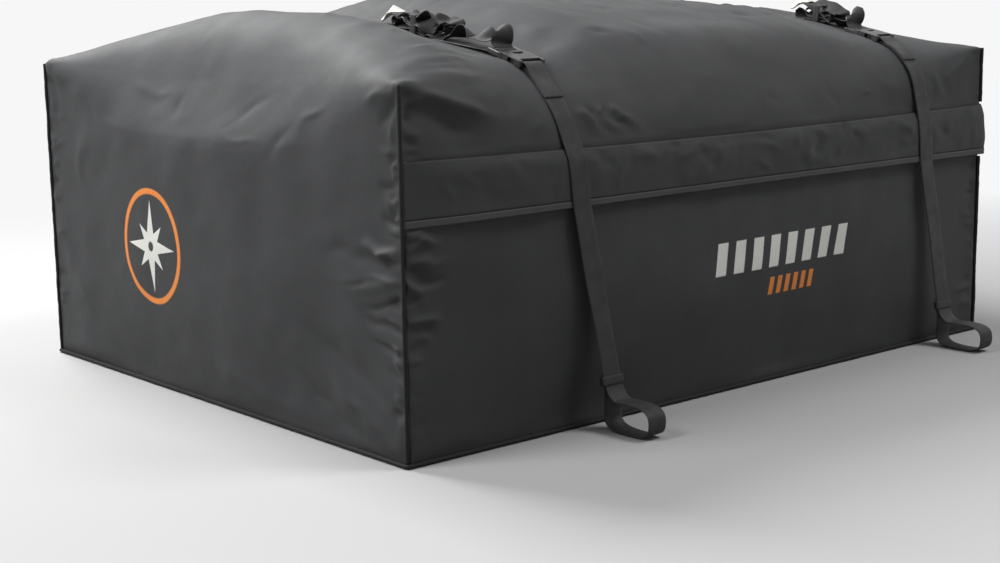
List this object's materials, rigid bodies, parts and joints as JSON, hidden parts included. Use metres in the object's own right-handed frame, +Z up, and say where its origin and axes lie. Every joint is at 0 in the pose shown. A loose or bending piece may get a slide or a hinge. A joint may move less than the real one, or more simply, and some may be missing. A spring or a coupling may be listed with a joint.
{
  "type": "rooftop cargo carrier",
  "caption": "Soft black rooftop cargo bag with a zipped lid under a storm flap and two buckled lashing straps with rail loops.",
  "frame": {"origin": "centre of the bag's plan on the plane its base panel rests on", "axes": "+X along the bag towards its rear end, +Y towards the far long side, away from the buckles, +Z up"},
  "size_m": [1.1375, 1.0896, 0.5309],
  "materials": {
    "coated_fabric": "black coated woven fabric, low sheen",
    "edge_tape": "black folded binding tape",
    "zip_nylon": "black nylon coil and tape",
    "slider_metal": "dark enamelled die casting",
    "black_acetal": "black moulded plastic, fine grain",
    "black_webbing": "black woven polyester webbing",
    "pale_tip": "pale stiffened webbing end"
  },
  "bodies": {
    "bag": {"front_and_lid": "coated_fabric", "near_side_panel": "coated_fabric", "far_side_panel": "coated_fabric", "rear_panel": "coated_fabric", "base_panel": "coated_fabric", "storm_flap": "coated_fabric", "front_near_corner_piping": "edge_tape", "front_far_corner_piping": "edge_tape", "rear_near_corner_piping_lower": "edge_tape", "rear_near_corner_piping_upper": "edge_tape", "rear_far_corner_piping_lower": "edge_tape", "rear_far_corner_piping_upper": "edge_tape", "base_welt": "edge_tape", "flap_hem_tape": "edge_tape", "zip_coil_upper": "zip_nylon", "zip_coil_lower": "zip_nylon", "zip_tape_upper": "zip_nylon", "zip_tape_lower": "zip_nylon", "front_buckle_socket": "black_acetal", "rear_buckle_socket": "black_acetal", "front_near_strap": "black_webbing", "front_near_rail_eye": "black_webbing", "rear_near_strap": "black_webbing", "rear_near_rail_eye": "black_webbing"},
    "front_strap_release": {"front_far_strap": "black_webbing", "front_far_rail_eye": "black_webbing", "front_buckle_plug": "black_acetal", "front_strap_tail": "black_webbing", "front_tail_keeper": "black_webbing", "front_tail_tip": "pale_tip"},
    "rear_strap_release": {"rear_far_strap": "black_webbing", "rear_far_rail_eye": "black_webbing", "rear_buckle_plug": "black_acetal", "rear_strap_tail": "black_webbing", "rear_tail_keeper": "black_webbing", "rear_tail_tip": "pale_tip"},
    "left_zip_slider": {"zip_slider_left": "slider_metal", "zip_pull_left": "black_acetal"},
    "right_zip_slider": {"zip_slider_right": "slider_metal", "zip_pull_right": "black_acetal"}
  },
  "joints": [
    {"name": "front_buckle_release", "type": "slide", "parent": "bag", "child": "front_strap_release", "axis": [0, 0.9581, 0.2864], "range_m": [0, 0.032]},
    {"name": "rear_buckle_release", "type": "slide", "parent": "bag", "child": "rear_strap_release", "axis": [0, 0.9737, 0.228], "range_m": [0, 0.032]},
    {"name": "zip_left_slide", "type": "slide", "parent": "bag", "child": "left_zip_slider", "axis": [0, -1, 0], "range_m": [0, 0.38]},
    {"name": "zip_right_slide", "type": "slide", "parent": "bag", "child": "right_zip_slider", "axis": [0, 1, 0], "range_m": [0, 0.38]}
  ]
}
